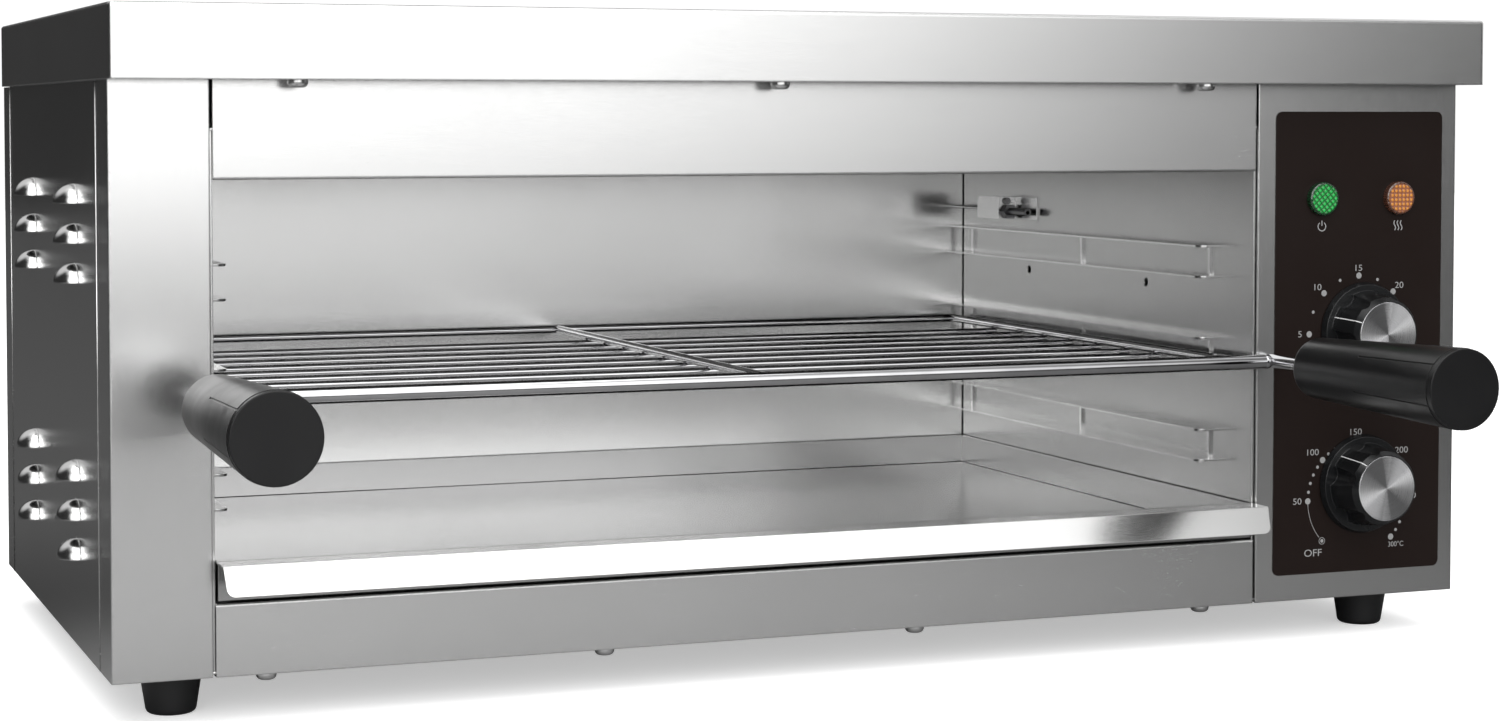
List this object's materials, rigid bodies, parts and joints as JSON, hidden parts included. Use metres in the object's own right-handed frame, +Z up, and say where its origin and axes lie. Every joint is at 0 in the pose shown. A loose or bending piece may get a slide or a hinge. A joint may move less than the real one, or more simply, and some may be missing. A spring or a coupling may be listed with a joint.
{
  "type": "cheese melter",
  "caption": "Countertop open-front cheese melter: steel case, heated cavity with guides, wire rack on grip handles, slide-out crumb tray and a timer and thermostat panel.",
  "frame": {"origin": "on the table under the object, halfway between its left and right sides and halfway between the front faces of the handles and the rear end of the cord entry", "axes": "+X to the object's right seen from the front, +Y from the open front to the back, +Z up"},
  "size_m": [0.623, 0.47, 0.2772],
  "materials": {
    "case_steel": "brushed stainless sheet",
    "cavity_steel": "satin stainless sheet",
    "reflector": "bright sheet",
    "bright_wire": "chromed wire",
    "grip": "moulded black",
    "knob": "moulded dark grey",
    "knob_face": "spun",
    "white_mark": "painted line",
    "label": "printed film",
    "green_lens": "clear moulded",
    "amber_lens": "clear moulded",
    "lamp_holder": "moulded white",
    "control_case": "moulded",
    "shaft_steel": "turned",
    "screw_steel": "zinc plated",
    "heater_tube": "heat-dulled sheath",
    "copper_tube": "drawn",
    "foot_rubber": "moulded",
    "terminal_plastic": "moulded",
    "gland_plastic": "moulded",
    "lead_sleeve": "silicone sleeve"
  },
  "bodies": {
    "housing": {"top_cover": "case_steel", "cover_angles": "cavity_steel", "cover_screws": "screw_steel", "left_post": "case_steel", "control_panel": "case_steel", "front_fascia": "case_steel", "lower_strip": "case_steel", "strip_screws": "screw_steel", "left_side_panel": "case_steel", "right_side_panel": "case_steel", "rear_panel": "case_steel", "rear_spacers": "screw_steel", "rear_screws": "screw_steel", "base_panel": "case_steel", "feet": "foot_rubber", "foot_screws": "screw_steel", "cavity_left_wall": "cavity_steel", "cavity_right_wall": "cavity_steel", "cavity_back_wall": "cavity_steel", "cavity_roof": "reflector", "left_rack_guides": "cavity_steel", "right_rack_guides": "cavity_steel", "tray_runners": "cavity_steel", "front_heating_element": "heater_tube", "rear_heating_element": "heater_tube", "element_ends": "screw_steel", "element_hangers": "cavity_steel", "sensor_bracket": "cavity_steel", "sensor_tube": "screw_steel", "sensor_fasteners": "screw_steel", "sensor_capillary": "copper_tube", "panel_label": "label", "green_lamp_lens": "green_lens", "amber_lamp_lens": "amber_lens", "lamp_bodies": "lamp_holder", "timer_body": "control_case", "thermostat_body": "control_case", "terminal_block": "terminal_plastic", "cable_gland": "gland_plastic", "gland_nut": "gland_plastic", "heat_shield": "reflector", "wiring_leads": "lead_sleeve"},
    "rack": {"rack_front_bar": "bright_wire", "rack_side_rails": "bright_wire", "rack_rear_bar": "bright_wire", "rack_centre_rod": "bright_wire", "rack_wires": "bright_wire", "handle_rods": "bright_wire", "left_handle": "grip", "right_handle": "grip", "handle_caps": "grip"},
    "tray": {"crumb_tray": "case_steel"},
    "timer_control": {"timer_knob": "knob", "timer_knob_cap": "knob_face", "timer_knob_pointer": "white_mark", "timer_shaft": "shaft_steel"},
    "thermostat_control": {"thermostat_knob": "knob", "thermostat_knob_cap": "knob_face", "thermostat_knob_pointer": "white_mark", "thermostat_shaft": "shaft_steel"}
  },
  "joints": [
    {"name": "rack_slide", "type": "slide", "parent": "housing", "child": "rack", "axis": [0, -1, 0], "range_m": [0, 0.2]},
    {"name": "tray_slide", "type": "slide", "parent": "housing", "child": "tray", "axis": [0, -1, 0], "range_m": [0, 0.25]},
    {"name": "timer_turn", "type": "hinge", "parent": "housing", "child": "timer_control", "pos_m": [0.2541, -0.1, 0.1378], "axis": [0, 1, 0], "range_deg": [-67.5, 202.5]},
    {"name": "thermostat_turn", "type": "hinge", "parent": "housing", "child": "thermostat_control", "pos_m": [0.2541, -0.1, 0.0694], "axis": [0, 1, 0], "range_deg": [-90, 180]}
  ]
}
